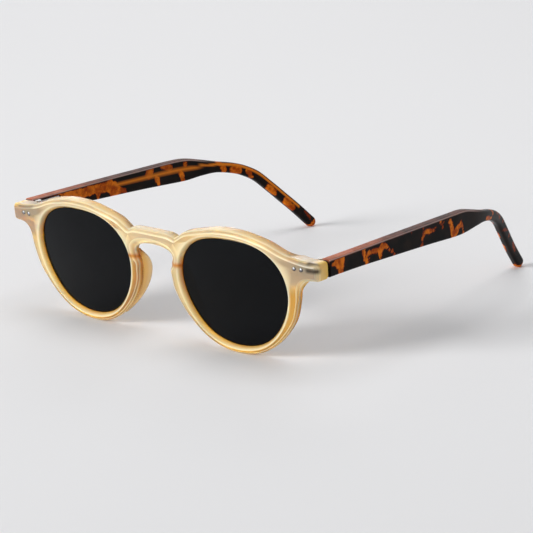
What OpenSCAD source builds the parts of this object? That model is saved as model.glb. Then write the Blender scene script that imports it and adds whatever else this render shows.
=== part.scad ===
// Acetate sunglasses: milled front with keyhole bridge, dark lenses in a rim groove, bonded nose pads,
// five-knuckle hinges riveted to the front, and tortoise temples with a metal core wire.
// The wearer's left is +X, the lenses face -Y, and the rims and temple tips rest on Z = 0.

/* [Lenses] */
// Boxed width of a lens, with its bevelled edge
lens_w = 47; // [44:0.5:50]
// Boxed height of a lens, with its bevelled edge
lens_h = 40.4; // [38:0.2:43]
// Distance between the two lenses at the bridge
bridge_w = 24; // [22:0.5:27]
// Thickness of a lens
lens_t = 1.6; // [1.4:0.1:1.8]
// How far the middle of a lens stands forward of its edge
lens_dome = 0.9; // [0.4:0.1:1.2]
// How far the lens's bevelled edge enters the rim
bevel_in = 0.6; // [0.4:0.05:0.8]
// How much flatter the lens is along its brow than along its cheek
brow_flat = 0.85; // [0.5:0.05:1.1]

/* [Front] */
// Thickness of the rims below the brow
rim_t = 3.6; // [3.5:0.1:4.2]
// Thickness at the top of the brow
brow_t = 5.6; // [4.6:0.1:6]
// Width of the rim above the lens
rim_top = 3.4; // [3:0.1:4]
// Width of the rim below the lens
rim_low = 2.8; // [2.6:0.1:3.6]
// Width of the rim at the temple side
rim_side = 5; // [4.6:0.1:5.6]
// Width of the rim at the nose side
rim_nose = 4.7; // [4.4:0.1:5.4]
// How far the lens groove's middle lies behind the front face
groove_at = 2.3; // [2.2:0.05:2.4]
// Width of the bevel along the brow
bevel_w = 1.3; // [0.8:0.1:1.5]
// Width of the bevel round the lower rims
low_bevel = 0.7; // [0.4:0.1:1]
// Width of the bevel along the underside of the keyhole
keyhole_bevel = 2.4; // [1.4:0.1:2.6]
// Depth of the front bevel along the brow
bevel_d = 1.3; // [0.9:0.1:1.4]
// Half of the gap between the keyhole's two sides
keyhole_r = 8.7; // [8.2:0.1:9.2]
// Height of the bridge
bridge_h = 5.2; // [4.6:0.1:6]
// Overall width across the end pieces
frame_w = 146; // [144:0.5:150]
// Height of the end pieces
end_h = 6.6; // [6.4:0.1:7.2]
// Depth of the end pieces from front face to temple joint
end_t = 6.7; // [6.2:0.1:7.4]
// Radius that the front's face is bent to
base_r = 650; // [500:10:1200]
// Angle by which the brow leans forward as the sunglasses rest
lean = 6.7; // [5:0.1:8]

/* [Nose pads] */
// How far a pad stands out behind the rim
pad_h = 5.6; // [3:0.1:6]
// Thickness of a pad along its crest
pad_crest = 1.6; // [1.2:0.1:2]

/* [Hinges] */
// Diameter of the hinge knuckles
knuckle_d = 3; // [2.6:0.1:3.2]
// Height of one knuckle
knuckle_h = 0.9; // [0.8:0.05:1]
// Gap between neighbouring knuckles
knuckle_gap = 0.08; // [0.05:0.01:0.12]
// Diameter of the hinge screw
screw_d = 1.2; // [1:0.1:1.4]
// Running clearance between the screw and its bore, on the radius
screw_gap = 0.06; // [0.04:0.01:0.1]
// Height of the screw's head
screw_head_h = 0.6; // [0.4:0.05:0.7]
// Thickness of the hinge leaves
leaf_t = 1; // [0.8:0.1:1.2]
// Length of the leaf sunk in a temple
leaf_l = 12; // [9:0.5:15]
// Diameter of the rivets that hold the hinge to the front
rivet_d = 1.6; // [1:0.1:1.6]
// Distance between the two rivets of a side
rivet_pitch = 2.9; // [2.4:0.1:3.1]

/* [Temples] */
// Thickness of a temple at the joint
temple_t = 4; // [3.8:0.1:4.4]
// Thickness of a temple at its tip
tip_t = 3.4; // [3:0.1:4]
// Height of a temple at the joint
temple_h = 6.2; // [5.9:0.1:6.4]
// Length of the straight part, from the joint to the middle of the shoulder
temple_straight = 80; // [70:1:88]
// Height of a temple at its shoulder
shoulder_h = 8.5; // [7.5:0.1:9.5]
// Height of a temple over the ear and down its tip
ear_h = 4.1; // [3.8:0.1:5]
// How far a temple tip curves inward from the end piece
tip_in = 20; // [16:0.5:22]
// Diameter of the core wire
wire_d = 1.3; // [1:0.1:1.5]

/* [Fits] */
// Clearance round a piece set into acetate
inlay_gap = 0.05; // [0.03:0.01:0.08]
// Clearance between a lens's edge and its groove
lens_gap = 0.08; // [0.06:0.01:0.1]
// Gap between an end piece and the temple that butts against it
joint_gap = 0.12; // [0.08:0.02:0.2]

/* [Hidden] */
$fn = 32;
left = 1;
right = -1;

honey = [0.85, 0.68, 0.42];
smoke = [0.12, 0.13, 0.15];
tortoise = [0.25, 0.12, 0.06];
steel = [0.75, 0.76, 0.78];
brass = [0.85, 0.55, 0.25];

// The lens opening is a radius about the lens centre; angle 0 points to the temple.
open_w = lens_w - 2 * bevel_in;
open_h = lens_h - 2 * bevel_in;
squareness = 0.21;
cheek = 0.14;
open_r = (open_w + open_h) / 4 + squareness;
open_oval = (open_w - open_h) / 4;
lens_u = (lens_w + bridge_w) / 2;
lens_v = opening(270) + rim_low;

function opening(a) = open_r + open_oval * cos(2 * a) - squareness * cos(4 * a)
                      + brow_flat * sin(3 * a) + cheek * sin(5 * a);
function lens_at(a, out) = let (r = opening(a) + out) [lens_u + r * cos(a), lens_v + r * sin(a)];

function clamp(v, low, high) = min(max(v, low), high);
function ramp(v, from, to) = let (k = clamp((v - from) / (to - from), 0, 1)) k * k * (3 - 2 * k);
function between(p, q, k) = p + (q - p) * k;

// Smooth curve through four neighbouring points, from the second to the third.
function curve(p0, p1, p2, p3, t) =
    0.5 * (2 * p1 + (p2 - p0) * t + (2 * p0 - 5 * p1 + 4 * p2 - p3) * t * t
           + (3 * p1 - p0 - 3 * p2 + p3) * t * t * t);
function smooth_path(list, steps) = let (last = len(list) - 1) [
    for (i = [0 : last - 1])
        for (k = [0 : steps - 1])
            curve(list[max(i - 1, 0)], list[i], list[i + 1], list[min(i + 2, last)], k / steps),
    list[last]
];

// The front is drawn upright as [u, depth, v], bent to base_r, and leaned forward by tilt().
function face(u) = u * u / (2 * base_r);
low_bevel_d = low_bevel * 1.1;
rest_z = (face(lens_u) + low_bevel_d) * sin(lean);

module tilt() {
    translate([0, 0, -rest_z]) rotate([lean, 0, 0]) children();
}

// End pieces. Their back is upright, so that the temples butt against it.
end_u = frame_w / 2;
end_low = lens_v + 8.5;
end_top = end_low + end_h;
joint_s = face(end_u) + end_t;
joint_z = end_low * cos(lean) + joint_s * sin(lean) - rest_z - end_t * tan(lean) * 0.5 + end_h / 2;
joint_y = joint_s * cos(lean) - (end_low + end_top) / 2 * sin(lean);
block_u0 = end_u - 13.4;
block_u1 = end_u - 10.8;

// Half outline of the front, from the underside of the keyhole round the rim to the top of the bridge.
// Each entry is [angle of its partner on the lens opening, u, v].
bridge_low = lens_v + 11.8;
bridge_top = bridge_low + bridge_h;
nose_u = lens_at(180, rim_nose)[0] - 0.4;

function rim_width(a) =
    let (side = cos(a) < 0 ? rim_nose : rim_side, edge = sin(a) < 0 ? rim_low : rim_top)
    edge + (side - edge) * pow(cos(a), sin(a) < 0 ? 8 : 2);
function rim_at(a) = concat([a], lens_at(a, rim_width(a)));

outline = [
    [-211, 0, bridge_low],
    [-208.5, keyhole_r * 0.42, bridge_low - 0.3],
    [-206, keyhole_r * 0.76, bridge_low - 1.1],
    [-203, keyhole_r * 0.95, bridge_low - 2.3],
    [-199, keyhole_r, bridge_low - 3.8],
    [-195, keyhole_r * 0.95, bridge_low - 5.2],
    [-190.5, nose_u + 0.6, bridge_low - 6.5],
    [-186, nose_u, bridge_low - 8.2],
    [-180, nose_u + 0.3, bridge_low - 10.7],
    for (a = [-172 : 14 : -74]) rim_at(a),
    for (a = [-60 : 15 : 0]) rim_at(a),
    [8, end_u - 8.7, end_low - 4.1],
    [12, end_u - 7.7, end_low - 1.9],
    [15.5, end_u - 5.8, end_low - 0.5],
    [17.5, end_u - 3, end_low - 0.1],
    [18.6, end_u - 0.9, end_low + 0.1],
    [19.6, end_u - 0.1, end_low + 1.1],
    [22, end_u, end_low + end_h * 0.5],
    [24.5, end_u - 0.2, end_top - 1.1],
    [26, end_u - 1.2, end_top - 0.2],
    [29, end_u - 4.5, end_top],
    [34, end_u - 9.5, end_top + 0.8],
    [41, end_u - 15, end_top + 2.2],
    [50, lens_at(50, rim_top)[0] + 0.6, lens_at(50, rim_top)[1] + 0.4],
    for (a = [62 : 14 : 118]) concat([a], lens_at(a, rim_top)),
    concat([127], lens_at(135, rim_top + 1.4)),
    [132, 12.7, bridge_top],
    [137, 11, bridge_top - 1],
    [139, 9.4, bridge_top - 0.5],
    [141, 7, bridge_top - 0.1],
    [143, 0, bridge_top]
];
stations = smooth_path(outline, 2);
last_station = len(stations) - 1;

// Direction into the material at a station; the two end stations lie on the middle plane.
function inward(i) =
    i == 0 ? [0, 1] :
    i == last_station ? [0, -1] :
    let (d = stations[i + 1] - stations[i - 1], n = norm([d[1], d[2]])) [-d[2] / n, d[1] / n];

// Section of the rim at a station. Its back rises to the joint plane at the end pieces.
groove_half = lens_t / 2 + lens_gap;

function is_block(u, v) = ramp(u, block_u0, block_u1) * ramp(v, end_low - 3.2, end_low - 0.4);
function plain_t(v) = rim_t + (brow_t - rim_t) * ramp(v, lens_v + 4.5, lens_v + 22);
function upright_s(v) = (joint_y + v * sin(lean)) / cos(lean);
function front_point(p, d) = [p[0], face(p[0]) + d, p[1]];
function back_point(p, d) =
    let (k = is_block(p[0], p[1]), v = p[1] - k * (end_t * tan(lean) * 0.6 + max(p[1] - end_top, 0)))
    [p[0], (face(p[0]) + plain_t(p[1])) * (1 - k) + k * upright_s(v) - d, v];
function is_brow(v) = ramp(v, lens_v - 2, lens_v + 9);
function front_bevel(u, v) =
    between(low_bevel, bevel_w, is_brow(v)) + (u < keyhole_r + 0.2 && v < bridge_low + 0.2
        ? (keyhole_bevel - bevel_w) * ramp(v, bridge_low - 9, bridge_low - 3) : 0);

function section(i) =
    let (a = stations[i][0], b = [stations[i][1], stations[i][2]], n = inward(i),
         ob = front_bevel(b[0], b[1]), od = between(low_bevel_d, bevel_d, is_brow(b[1])),
         back_bevel = 1.1,
         inner = lens_at(a, 0), rim_in = lens_at(a, 1.1), back_in = lens_at(a, 0.6),
         crest = lens_at(a, bevel_in + lens_gap), b_out = b + n * back_bevel,
         wide = b[0] - inner[0],
         k0 = b[0] > block_u0 + 1.5 ? clamp((block_u0 - inner[0]) / wide, 0.1, 0.33) : 0.33,
         k1 = b[0] > block_u0 + 1.5 ? clamp((block_u1 - inner[0]) / wide, 0.3, 0.67) : 0.67)
    [
        front_point(inner, groove_at - groove_half),
        front_point(rim_in, 0),
        front_point(b + n * ob, 0),
        front_point(b + n * ob * 0.36, od * 0.36),
        front_point(b, od),
        back_point(b, back_bevel),
        back_point(b_out, 0),
        back_point(between(back_in, b_out, k1), 0),
        back_point(between(back_in, b_out, k0), 0),
        back_point(back_in, 0),
        front_point(inner, groove_at + groove_half),
        front_point(crest, groove_at)
    ];

function flip(faces) = [for (f = faces) [for (i = [len(f) - 1 : -1 : 0]) f[i]]];

// Faces between rings of points; a closed loop joins the last ring to the first.
function strips(rings, size, loop) = [
    for (i = [0 : rings - (loop ? 1 : 2)])
        for (j = [0 : size - 1])
            let (a = i * size + j, b = i * size + (j + 1) % size,
                 c = ((i + 1) % rings) * size + (j + 1) % size, d = ((i + 1) % rings) * size + j)
            each [[a, d, c], [a, c, b]]
];

// Left half and its mirror image, sewn together along the middle of the bridge.
module front_blank() {
    ring = len(section(0));
    count = last_station + 1;
    half = [for (i = [0 : last_station]) each section(i)];
    other = [for (p = half) [-p[0], p[1], p[2]]];
    all_faces = strips(count, ring, true);
    first_open = 2 * (last_station * ring + 2);
    faces = [for (k = [0 : len(all_faces) - 1]) if (k < first_open || k >= first_open + 8) all_faces[k]];
    polyhedron(concat(half, other), concat(faces, flip([for (f = faces) f + [1, 1, 1] * len(half)])));
}

// Puts a part drawn for the left side, with the hinge pin as its origin, on either side.
knuckle_r = knuckle_d / 2;
hinge_u = end_u - temple_t - screw_d / 2 - 0.55;
hinge_y = joint_y + knuckle_r + 0.1;
hinge_z = joint_z - 0.4;
pitch = knuckle_h + knuckle_gap;
stack_h = 5 * knuckle_h + 4 * knuckle_gap;
bore_r = screw_d / 2 + screw_gap;
plate_out = hinge_u + 0.4;
plate_h = stack_h - 0.2;
outer_rivet_u = plate_out - rivet_d / 2 - 1.1;
inner_rivet_u = outer_rivet_u - rivet_pitch;
plate_in = inner_rivet_u - rivet_d / 2 - 0.7;
rivet_z = joint_z + 0.4;

module on_side(side) {
    if (side == left) children();
    else mirror([1, 0, 0]) children();
}

module at_hinge(side) {
    on_side(side) translate([hinge_u, hinge_y, hinge_z]) children();
}

// A box from corner to corner.
module box(from, to) {
    translate(from) cube(to - from);
}

module front_plate(gap, back) {
    box([plate_in - gap, joint_y - leaf_t - gap, hinge_z - plate_h / 2 - gap],
        [plate_out + gap, joint_y + back, hinge_z + plate_h / 2 + gap]);
}

module rivet_shank(u, d, from, to) {
    translate([u, from, rivet_z]) rotate([-90, 0, 0]) cylinder(d = d, h = to - from);
}

module front_frame() {
    color(honey) difference() {
        tilt() front_blank();
        for (side = [left, right]) on_side(side) {
            front_plate(inlay_gap, 1);
            for (u = [inner_rivet_u, outer_rivet_u])
                rivet_shank(u, rivet_d + 2 * inlay_gap, -20, joint_y);
        }
    }
}

// Lens: front dome, bevelled edge and back, as rings of points about the lens centre.
module lens(side) {
    step = 5;
    count = 360 / step;
    edge = groove_at - lens_t / 2;
    function dome(k) = -lens_dome * (1 - k * k);
    function lens_ring(k, d) = [for (a = [0 : step : 359])
        front_point(between([lens_u, lens_v], lens_at(a, -lens_gap), k), d + dome(k))];
    rings = concat(lens_ring(0.35, edge), lens_ring(0.7, edge), lens_ring(1, edge),
                   [for (a = [0 : step : 359]) front_point(lens_at(a, bevel_in), groove_at)],
                   lens_ring(1, edge + lens_t), lens_ring(0.7, edge + lens_t), lens_ring(0.35, edge + lens_t));
    n = len(rings);
    centres = [front_point([lens_u, lens_v], edge + dome(0)),
               front_point([lens_u, lens_v], edge + lens_t + dome(0))];
    front_fan = [for (j = [0 : count - 1]) [n, j, (j + 1) % count]];
    back_fan = [for (j = [0 : count - 1]) [n + 1, n - count + (j + 1) % count, n - count + j]];
    color(smoke) tilt() on_side(side)
        polyhedron(concat(rings, centres), flip(concat(strips(7, count, false), front_fan, back_fan)));
}

// Nose pad: a fin along the back of the rim, highest beside the nose, with its crest at mid rim.
pad_from = 163;
pad_to = 232;
pad_peak = 185;

module nose_pad(side) {
    steps = 15;
    function rise(a) = let (x = a < pad_peak ? (pad_peak - a) / (pad_peak - pad_from)
                                             : (a - pad_peak) / (pad_to - pad_peak))
        max(pad_h * (1 - pow(x, 2.2)), 0.2);
    function pad_point(a, out, up) = back_point(lens_at(a, out), -up - inlay_gap);
    function pad_section(a) =
        let (h = rise(a), mid = rim_width(a) / 2 + 0.4, c = pad_crest / 2)
        [pad_point(a, 0.9, 0), pad_point(a, mid - c - 0.3, h * 0.7), pad_point(a, mid - c + 0.25, h),
         pad_point(a, mid + c - 0.25, h), pad_point(a, mid + c + 0.3, h * 0.7),
         pad_point(a, rim_width(a) - 1, 0)];
    points = [for (i = [0 : steps]) each pad_section(pad_from + (pad_to - pad_from) * i / steps)];
    caps = [[0, 1, 2, 3, 4, 5], [for (j = [5 : -1 : 0]) steps * 6 + j]];
    color(honey) tilt() on_side(side)
        polyhedron(points, flip(concat(strips(steps + 1, 6, false), caps)));
}

// A knuckle at one of five levels, with its bore, joined by an arm to the leaf that carries it.
module knuckle(level, arm_from, arm_to) {
    translate([0, 0, -stack_h / 2 + level * pitch]) difference() {
        union() {
            cylinder(r = knuckle_r, h = knuckle_h);
            box(concat(arm_from, [0]), concat(arm_to, [knuckle_h]));
        }
        translate([0, 0, -1]) cylinder(r = bore_r, h = knuckle_h + 2);
    }
}

module front_hinge(side) {
    color(steel) union() {
        on_side(side) difference() {
            front_plate(0, 0);
            for (u = [inner_rivet_u, outer_rivet_u])
                rivet_shank(u, rivet_d + 2 * inlay_gap, joint_y - 5, joint_y + 1);
        }
        at_hinge(side) for (level = [0, 2, 4])
            knuckle(level, [-knuckle_r, joint_y - hinge_y - 0.01], [0.4, 0]);
    }
}

// Rivet: a low domed head on the front face and a shank through to the hinge plate.
module rivet(side, u) {
    head_y = face(u) * cos(lean) - rivet_z * sin(lean);
    color(steel) on_side(side) {
        rivet_shank(u, rivet_d, head_y, joint_y);
        translate([u, head_y, rivet_z]) rotate([90, 0, 0]) intersection() {
            cylinder(d = rivet_d, h = 0.3);
            translate([0, 0, -rivet_d * 0.6]) sphere(d = rivet_d * 1.6);
        }
    }
}

module hinge_screw(side) {
    color(steel) at_hinge(side) difference() {
        union() {
            translate([0, 0, -stack_h / 2]) cylinder(d = screw_d, h = stack_h + 0.1);
            translate([0, 0, stack_h / 2 + 0.05]) cylinder(d = screw_d + 1, h = screw_head_h);
        }
        translate([-2, -0.15, stack_h / 2 + screw_head_h - 0.2]) cube([4, 0.3, 1]);
    }
}

// Temple, as stations [y behind the joint, z, height, offset from the end piece's outer face, thickness].
zj = joint_z;
path_list = [
    [joint_gap, zj, temple_h, 0, temple_t],
    [temple_straight * 0.1, zj - 0.1, temple_h, 0.2, temple_t],
    [temple_straight * 0.25, zj - 0.35, temple_h + 0.2, 0.6, temple_t],
    [temple_straight * 0.45, zj - 0.8, between(temple_h, shoulder_h, 0.35), 1.2, temple_t],
    [temple_straight * 0.7, zj - 1.45, between(temple_h, shoulder_h, 0.65), 2.1, temple_t],
    [temple_straight * 0.9, zj - 2.1, between(temple_h, shoulder_h, 0.98), 2.9, temple_t - 0.1],
    [temple_straight, zj - 2.5, shoulder_h - 0.2, tip_in * 0.19, temple_t - 0.1],
    [temple_straight + 8, zj - 3.3, between(shoulder_h, ear_h, 0.55), tip_in * 0.245, temple_t - 0.2],
    [temple_straight + 15, zj - 4.3, ear_h + 0.2, tip_in * 0.32, temple_t - 0.3],
    [temple_straight + 22, zj - 5.9, ear_h, tip_in * 0.43, temple_t - 0.4],
    [temple_straight + 27, zj - 7.8, ear_h, tip_in * 0.515, tip_t],
    [temple_straight + 32, zj - 10.8, ear_h, tip_in * 0.61, tip_t],
    [temple_straight + 37, zj - 15.5, ear_h, tip_in * 0.705, tip_t],
    [temple_straight + 42.5, zj - 21, ear_h, tip_in * 0.81, tip_t],
    [temple_straight + 48, zj - 26.5, ear_h, tip_in * 0.91, tip_t],
    [temple_straight + 54.6, ear_h * 0.52, ear_h, tip_in, tip_t]
];
path = smooth_path(path_list, 2);
path_end = len(path) - 1;
wire_last = path_end - 3;

function centre(i) = [end_u - path[i][3] - path[i][4] / 2, joint_y + path[i][0], path[i][1]];
function along(i) = i == 0 ? [0, 1, 0] :
    let (d = centre(min(i + 1, path_end)) - centre(max(i - 1, 0))) d / norm(d);
function outward(i) = let (t = along(i), s = [1, 0, 0] - t[0] * t) s / norm(s);
function up(i) = cross(outward(i), along(i));
function station_point(i, x, z) = centre(i) + outward(i) * x + up(i) * z;
function round_section(i, r, count) = [for (k = [0 : count - 1])
    station_point(i, r * cos(360 * k / count), r * sin(360 * k / count))];

// Rounded rectangle of a station, shrunk by k and pushed along the path for the rounded tip.
corner_r = 1;
function temple_section(i, k, push) =
    let (x = path[i][4] / 2 * between(0.55, 1, k) - corner_r * k, z = path[i][2] / 2 * k - corner_r * k)
    [for (q = [0 : 3]) for (a = [0 : 45 : 90])
        let (sx = (q == 0 || q == 3) ? 1 : -1, sz = q < 2 ? 1 : -1)
        station_point(i, sx * x + corner_r * k * cos(90 * q + a), sz * z + corner_r * k * sin(90 * q + a))
            + along(i) * push];

module temple(side) {
    sides = 12;
    tip = [for (a = [22.5 : 22.5 : 67.5]) [cos(a), sin(a)]];
    outer = concat([for (i = [0 : path_end]) each temple_section(i, 1, 0)],
                   [for (t = tip) each temple_section(path_end, t[0], t[1] * path[path_end][2] / 2)]);
    outer_rings = path_end + 1 + len(tip);
    bore = [for (i = [0 : wire_last]) each round_section(i, wire_d / 2 + inlay_gap, sides)];
    n = len(outer);
    bore_faces = [for (f = strips(wire_last + 1, sides, false)) f + [n, n, n]];
    front_ring = [for (j = [0 : sides - 1]) let (k = (j + 1) % sides) each [[j, k + n, k], [j, j + n, k + n]]];
    tip_cap = [[for (j = [0 : sides - 1]) n - sides + j]];
    bore_cap = [[for (j = [sides - 1 : -1 : 0]) n + len(bore) - sides + j]];
    color(tortoise) on_side(side) difference() {
        polyhedron(concat(outer, bore),
                   concat(flip(strips(outer_rings, sides, false)), bore_faces, front_ring, tip_cap, bore_cap));
        translate([hinge_u, hinge_y, hinge_z]) {
            box([-3, -4, -stack_h / 2 - 0.1],
                [leaf_out + inlay_gap, arm_back + inlay_gap, stack_h / 2 + 0.1]);
            box([-3, arm_back - 1, -temple_leaf_h / 2 - inlay_gap],
                [leaf_out + inlay_gap, leaf_l + inlay_gap, temple_leaf_h / 2 + inlay_gap]);
        }
    }
}

module core_wire(side) {
    sides = 12;
    points = [for (i = [1 : wire_last - 1]) each round_section(i, wire_d / 2, sides)];
    rings = wire_last - 1;
    caps = [[for (j = [0 : sides - 1]) j], [for (j = [sides - 1 : -1 : 0]) (rings - 1) * sides + j]];
    color(brass) on_side(side) polyhedron(points, flip(concat(strips(rings, sides, false), caps)));
}

leaf_in = end_u - temple_t - hinge_u;
leaf_out = leaf_in + leaf_t;
arm_back = knuckle_r + 1;
temple_leaf_h = stack_h - 0.5;

module temple_hinge(side) {
    color(steel) at_hinge(side) union() {
        for (level = [1, 3]) knuckle(level, [0, -1.1], [leaf_out, arm_back]);
        box([leaf_in, arm_back - 0.4, -temple_leaf_h / 2], [leaf_out, leaf_l, temple_leaf_h / 2]);
    }
}

// The origin is the middle of the footprint.
front_y = -(bridge_top - bevel_w) * sin(lean);
tip_y = joint_y + path[path_end][0] + ear_h / 2;

module placed() {
    translate([0, -(front_y + tip_y) / 2, 0]) children();
}

placed() front_frame();
placed() lens(left);  // lens_left
placed() lens(right);  // lens_right
placed() nose_pad(left);  // nose_pad_left
placed() nose_pad(right);  // nose_pad_right
placed() front_hinge(left);  // front_hinge_left
placed() front_hinge(right);  // front_hinge_right
placed() rivet(left, inner_rivet_u);  // inner_rivet_left
placed() rivet(left, outer_rivet_u);  // outer_rivet_left
placed() rivet(right, inner_rivet_u);  // inner_rivet_right
placed() rivet(right, outer_rivet_u);  // outer_rivet_right
placed() hinge_screw(left);  // hinge_screw_left
placed() hinge_screw(right);  // hinge_screw_right
placed() temple_hinge(left);  // temple_hinge_left
placed() temple_hinge(right);  // temple_hinge_right
placed() temple(left);  // temple_left
placed() temple(right);  // temple_right
placed() core_wire(left);  // core_wire_left
placed() core_wire(right);  // core_wire_right
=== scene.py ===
"""Acetate sunglasses with a keyhole bridge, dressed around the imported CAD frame."""

import math

import bmesh
import bpy
from mathutils import Matrix, Vector


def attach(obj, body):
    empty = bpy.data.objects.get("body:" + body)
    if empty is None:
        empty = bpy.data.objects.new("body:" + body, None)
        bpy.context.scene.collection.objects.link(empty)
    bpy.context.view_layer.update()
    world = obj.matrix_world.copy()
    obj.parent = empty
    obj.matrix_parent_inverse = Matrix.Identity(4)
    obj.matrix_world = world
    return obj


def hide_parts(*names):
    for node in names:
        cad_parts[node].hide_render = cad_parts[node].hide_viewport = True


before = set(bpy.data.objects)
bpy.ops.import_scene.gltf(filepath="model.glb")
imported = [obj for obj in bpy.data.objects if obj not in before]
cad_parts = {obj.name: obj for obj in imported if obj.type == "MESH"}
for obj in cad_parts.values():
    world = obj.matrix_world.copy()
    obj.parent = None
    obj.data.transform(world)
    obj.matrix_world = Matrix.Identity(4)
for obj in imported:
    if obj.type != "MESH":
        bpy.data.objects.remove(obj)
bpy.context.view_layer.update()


# The room: a pale, seamless sheet of floor paper under one broad soft lamp, with a soft lamp
# behind and a large one far off in front. The camera stands to the wearer's left, a little
# above the brow.

PALE = (0.80, 0.80, 0.81)
PAPER_REACH, PAPER_ROUGHNESS = 3.0, 0.9
ROOM_LIGHT, BACKDROP_LIGHT = 0.35, 0.95
LAMP_AIM = Vector((0, 0, 0.02))
SENSOR_MM, LENS_MM = 36.0, 201.02
CAMERA_AT = (0.695729, -0.795131, 0.315673)
ACROSS = (0.753457, 0.656574, -0.034840)
UPWARD = (-0.157813, 0.232031, 0.959821)
BACKWARD = (0.638277, -0.717686, 0.278441)

camera = bpy.data.objects.new("camera", bpy.data.cameras.new("camera"))
bpy.context.collection.objects.link(camera)
camera.data.sensor_width = SENSOR_MM
camera.data.lens = LENS_MM
turned = Matrix((ACROSS, UPWARD, BACKWARD)).transposed().to_4x4()
camera.matrix_world = Matrix.Translation(CAMERA_AT) @ turned
bpy.context.scene.camera = camera
bpy.context.scene.view_settings.view_transform = "Standard"


def soft_lamp(name, place, size, watts):
    lamp = bpy.data.objects.new(name, bpy.data.lights.new(name, "AREA"))
    lamp.data.shape = "RECTANGLE"
    lamp.data.size, lamp.data.size_y = size
    lamp.data.energy = watts
    lamp.location = place
    lamp.rotation_euler = (LAMP_AIM - Vector(place)).to_track_quat("-Z", "Y").to_euler()
    bpy.context.collection.objects.link(lamp)


soft_lamp("overhead_softbox", (-0.05, 0.10, 0.95), (0.7, 0.7), 3.2)
soft_lamp("back_softbox", (-0.85, 0.95, 0.50), (0.8, 0.5), 2.6)
soft_lamp("front_fill", (-2.0, -4.0, 1.78), (2.0, 1.6), 220.0)

world = bpy.data.worlds.new("room")
bpy.context.scene.world = world
world.use_nodes = True
room_nodes, room_links = world.node_tree.nodes, world.node_tree.links
room_nodes["Background"].inputs["Color"].default_value = (*PALE, 1)
ray = room_nodes.new("ShaderNodeLightPath")
seen = ray.outputs["Is Camera Ray"]
for kind in ("Is Glossy Ray", "Is Transmission Ray"):
    either = room_nodes.new("ShaderNodeMath")
    either.operation = "MAXIMUM"
    room_links.new(seen, either.inputs[0])
    room_links.new(ray.outputs[kind], either.inputs[1])
    seen = either.outputs[0]
level = room_nodes.new("ShaderNodeMapRange")
level.inputs["To Min"].default_value = ROOM_LIGHT
level.inputs["To Max"].default_value = BACKDROP_LIGHT
room_links.new(seen, level.inputs["Value"])
room_links.new(level.outputs["Result"], room_nodes["Background"].inputs["Strength"])

paper = bmesh.new()
bmesh.ops.create_grid(paper, x_segments=4, y_segments=4, size=PAPER_REACH)
floor = bpy.data.objects.new("floor", bpy.data.meshes.new("floor"))
paper.to_mesh(floor.data)
paper.free()
bpy.context.collection.objects.link(floor)
floor_paper = bpy.data.materials.new("floor_paper")
floor_paper.use_nodes = True
paper_body = floor_paper.node_tree.nodes["Principled BSDF"]
paper_body.inputs["Base Color"].default_value = (*PALE, 1)
paper_body.inputs["Roughness"].default_value = PAPER_ROUGHNESS
floor.data.materials.append(floor_paper)


# The front: one milled slab of honey acetate with two round-eye openings, a keyhole bridge and
# two end pieces. The brow and the keyhole are chamfered, the lower rims are rounded over, and
# the end pieces are left thick, so that the temples butt against their upright backs.

# Sizes are in mm. On the flat slab, u runs across from the middle and v runs up.
MM = 0.001
EYE_U, EYE_R = 35.5, 21.46
LENS_BEVEL, LENS_GAP, GROOVE_AT, GROOVE_HALF = 0.6, 0.08, 2.3, 0.88
RIM_TOP, RIM_LOW, RIM_SIDE, RIM_NOSE = 3.4, 2.8, 5.0, 4.7
RIM_T, BROW_T = 3.6, 5.6
BROW_BEVEL, LOW_BEVEL, KEYHOLE_BEVEL, BEVEL_DEPTH, BACK_BEVEL = 1.3, 0.7, 2.4, 1.3, 1.1
LOW_ROUNDING = LOW_BEVEL * 1.1
KEYHOLE_R, BRIDGE_H, NOTCH_U = 8.7, 5.2, 10.7
END_U, END_H, END_T = 73.0, 6.6, 6.7
FACE_RADIUS = 650.0
LEAN = math.radians(6.7)
STATIONS_A_STOP = 7
JOINT_GAP = 0.03
WELD = 2e-6


def opening(a):
    oval = 1.65 * math.cos(2 * a) - 0.21 * math.cos(4 * a)
    return EYE_R + oval + 0.85 * math.sin(3 * a) + 0.14 * math.sin(5 * a)


def mix(p, q, k):
    return p + (q - p) * k


def ramp(v, low, high):
    k = min(max((v - low) / (high - low), 0.0), 1.0)
    return k * k * (3 - 2 * k)


EYE_V = opening(math.radians(270)) + RIM_LOW
END_LOW = EYE_V + 8.5
END_TOP = END_LOW + END_H
BRIDGE_LOW = EYE_V + 11.8
BRIDGE_TOP = BRIDGE_LOW + BRIDGE_H


def eye_at(degrees, out):
    a = math.radians(degrees)
    r = opening(a) + out
    return Vector((EYE_U + r * math.cos(a), EYE_V + r * math.sin(a)))


def curved(u):
    return u * u / (2 * FACE_RADIUS)


# How far the lean lifts the lowest edge of the rims, which stands on the table; where a temple
# meets its end piece; and how far the front stands ahead of the middle of the open sunglasses.
REST_Z = (curved(EYE_U) + LOW_ROUNDING) * math.sin(LEAN)
JOINT_DEPTH = curved(END_U) + END_T
JOINT_Y = JOINT_DEPTH * math.cos(LEAN) - (END_LOW + END_TOP) / 2 * math.sin(LEAN)
JOINT_Z = (END_LOW * math.cos(LEAN) + JOINT_DEPTH * math.sin(LEAN) - REST_Z
           - END_T * math.tan(LEAN) * 0.5 + END_H / 2)
FOOTPRINT_Y = -69.3873
NOSE_U = eye_at(180, RIM_NOSE).x - 0.4


def rim_width(degrees):
    c, s = math.cos(math.radians(degrees)), math.sin(math.radians(degrees))
    side = RIM_NOSE if c < 0 else RIM_SIDE
    edge = RIM_LOW if s < 0 else RIM_TOP
    return edge + (side - edge) * abs(c) ** (8 if s < 0 else 2)


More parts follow.
